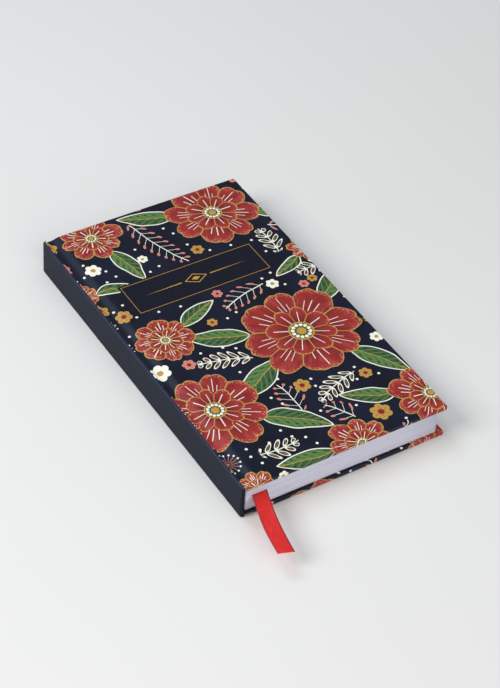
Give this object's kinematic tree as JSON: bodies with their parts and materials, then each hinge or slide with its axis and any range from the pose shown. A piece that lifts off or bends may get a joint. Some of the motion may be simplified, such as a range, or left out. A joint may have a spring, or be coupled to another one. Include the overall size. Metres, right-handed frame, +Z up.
{
  "type": "birthday book",
  "caption": "Slim hardback birthday book with printed paper over boards, grooved hinges, folded page sections that fan open and a loose satin ribbon marker at the tail.",
  "frame": {"origin": "centre of the back cover's outer face, on the surface that the closed book lies on", "axes": "+X towards the fore edge with the spine at -X, +Y towards the head with the ribbon's tail at -Y, +Z up through the front cover"},
  "size_m": [0.1022, 0.2018, 0.0168],
  "materials": {
    "greyboard": "matt grey board",
    "printed_wrap": "semi-matt laminated printed paper, navy ground with a coral, gold, green and cream floral pattern",
    "spine_wrap": "semi-matt plain dark navy paper",
    "endpaper": "uncoated",
    "page_paper": "uncoated, cut edges",
    "gauze": "open-weave lining cloth, glued",
    "satin_ribbon": "satin sheen"
  },
  "bodies": {
    "back_cover": {"back_board": "greyboard", "back_wrap": "printed_wrap", "back_pastedown": "endpaper", "back_flyleaf": "endpaper", "section_11": "page_paper", "section_12": "page_paper"},
    "spine": {"spine_board": "greyboard", "spine_wrap": "spine_wrap", "spine_lining": "gauze"},
    "front_cover": {"front_board": "greyboard", "front_wrap": "printed_wrap", "front_pastedown": "endpaper", "front_flyleaf": "endpaper", "section_01": "page_paper", "section_02": "page_paper"},
    "section_03": {"section_03": "page_paper"},
    "section_04": {"section_04": "page_paper"},
    "section_05": {"section_05": "page_paper"},
    "section_06": {"section_06": "page_paper", "ribbon_marker": "satin_ribbon"},
    "section_07": {"section_07": "page_paper"},
    "section_08": {"section_08": "page_paper"},
    "section_09": {"section_09": "page_paper"},
    "section_10": {"section_10": "page_paper"},
    "ribbon_tail": {"ribbon_tail": "satin_ribbon"}
  },
  "joints": [
    {"name": "spine_hinge", "type": "hinge", "parent": "back_cover", "child": "spine", "pos_m": [-0.0477, 0, 0.0016], "axis": [0, -1, 0], "range_deg": [0, 90]},
    {"name": "front_cover_hinge", "type": "hinge", "parent": "spine", "child": "front_cover", "pos_m": [-0.0477, 0, 0.01517], "axis": [0, -1, 0], "range_deg": [0, 90]},
    {"name": "section_03_turn", "type": "hinge", "parent": "spine", "child": "section_03", "pos_m": [-0.0468, 0, 0.01181], "axis": [0, -1, 0], "range_deg": [0, 53.55]},
    {"name": "section_04_turn", "type": "hinge", "parent": "spine", "child": "section_04", "pos_m": [-0.0468, 0, 0.01086], "axis": [0, -1, 0], "range_deg": [0, 38.25]},
    {"name": "section_05_turn", "type": "hinge", "parent": "spine", "child": "section_05", "pos_m": [-0.0468, 0, 0.00992], "axis": [0, -1, 0], "range_deg": [0, 22.95]},
    {"name": "section_06_turn", "type": "hinge", "parent": "spine", "child": "section_06", "pos_m": [-0.0468, 0, 0.00874], "axis": [0, -1, 0], "range_deg": [0, 7.65]},
    {"name": "section_07_turn", "type": "hinge", "parent": "spine", "child": "section_07", "pos_m": [-0.0468, 0, 0.00779], "axis": [0, -1, 0], "range_deg": [-7.65, 0]},
    {"name": "section_08_turn", "type": "hinge", "parent": "spine", "child": "section_08", "pos_m": [-0.0468, 0, 0.00685], "axis": [0, -1, 0], "range_deg": [-22.95, 0]},
    {"name": "section_09_turn", "type": "hinge", "parent": "spine", "child": "section_09", "pos_m": [-0.0468, 0, 0.0059], "axis": [0, -1, 0], "range_deg": [-38.25, 0]},
    {"name": "section_10_turn", "type": "hinge", "parent": "spine", "child": "section_10", "pos_m": [-0.0468, 0, 0.00496], "axis": [0, -1, 0], "range_deg": [-53.55, 0]},
    {"name": "ribbon_hang", "type": "hinge", "parent": "section_06", "child": "ribbon_tail", "pos_m": [-0.04133, -0.08365, 0.00933], "axis": [0, -1, 0], "range_deg": [-97.65, 0]}
  ],
  "couplings": [
    {"joint": "front_cover_hinge", "follows": "spine_hinge", "ratio": 1},
    {"joint": "section_03_turn", "follows": "spine_hinge", "ratio": 0.595},
    {"joint": "section_04_turn", "follows": "spine_hinge", "ratio": 0.425},
    {"joint": "section_05_turn", "follows": "spine_hinge", "ratio": 0.255},
    {"joint": "section_06_turn", "follows": "spine_hinge", "ratio": 0.085},
    {"joint": "section_07_turn", "follows": "spine_hinge", "ratio": -0.085},
    {"joint": "section_08_turn", "follows": "spine_hinge", "ratio": -0.255},
    {"joint": "section_09_turn", "follows": "spine_hinge", "ratio": -0.425},
    {"joint": "section_10_turn", "follows": "spine_hinge", "ratio": -0.595},
    {"joint": "ribbon_hang", "follows": "spine_hinge", "ratio": -1.085}
  ]
}
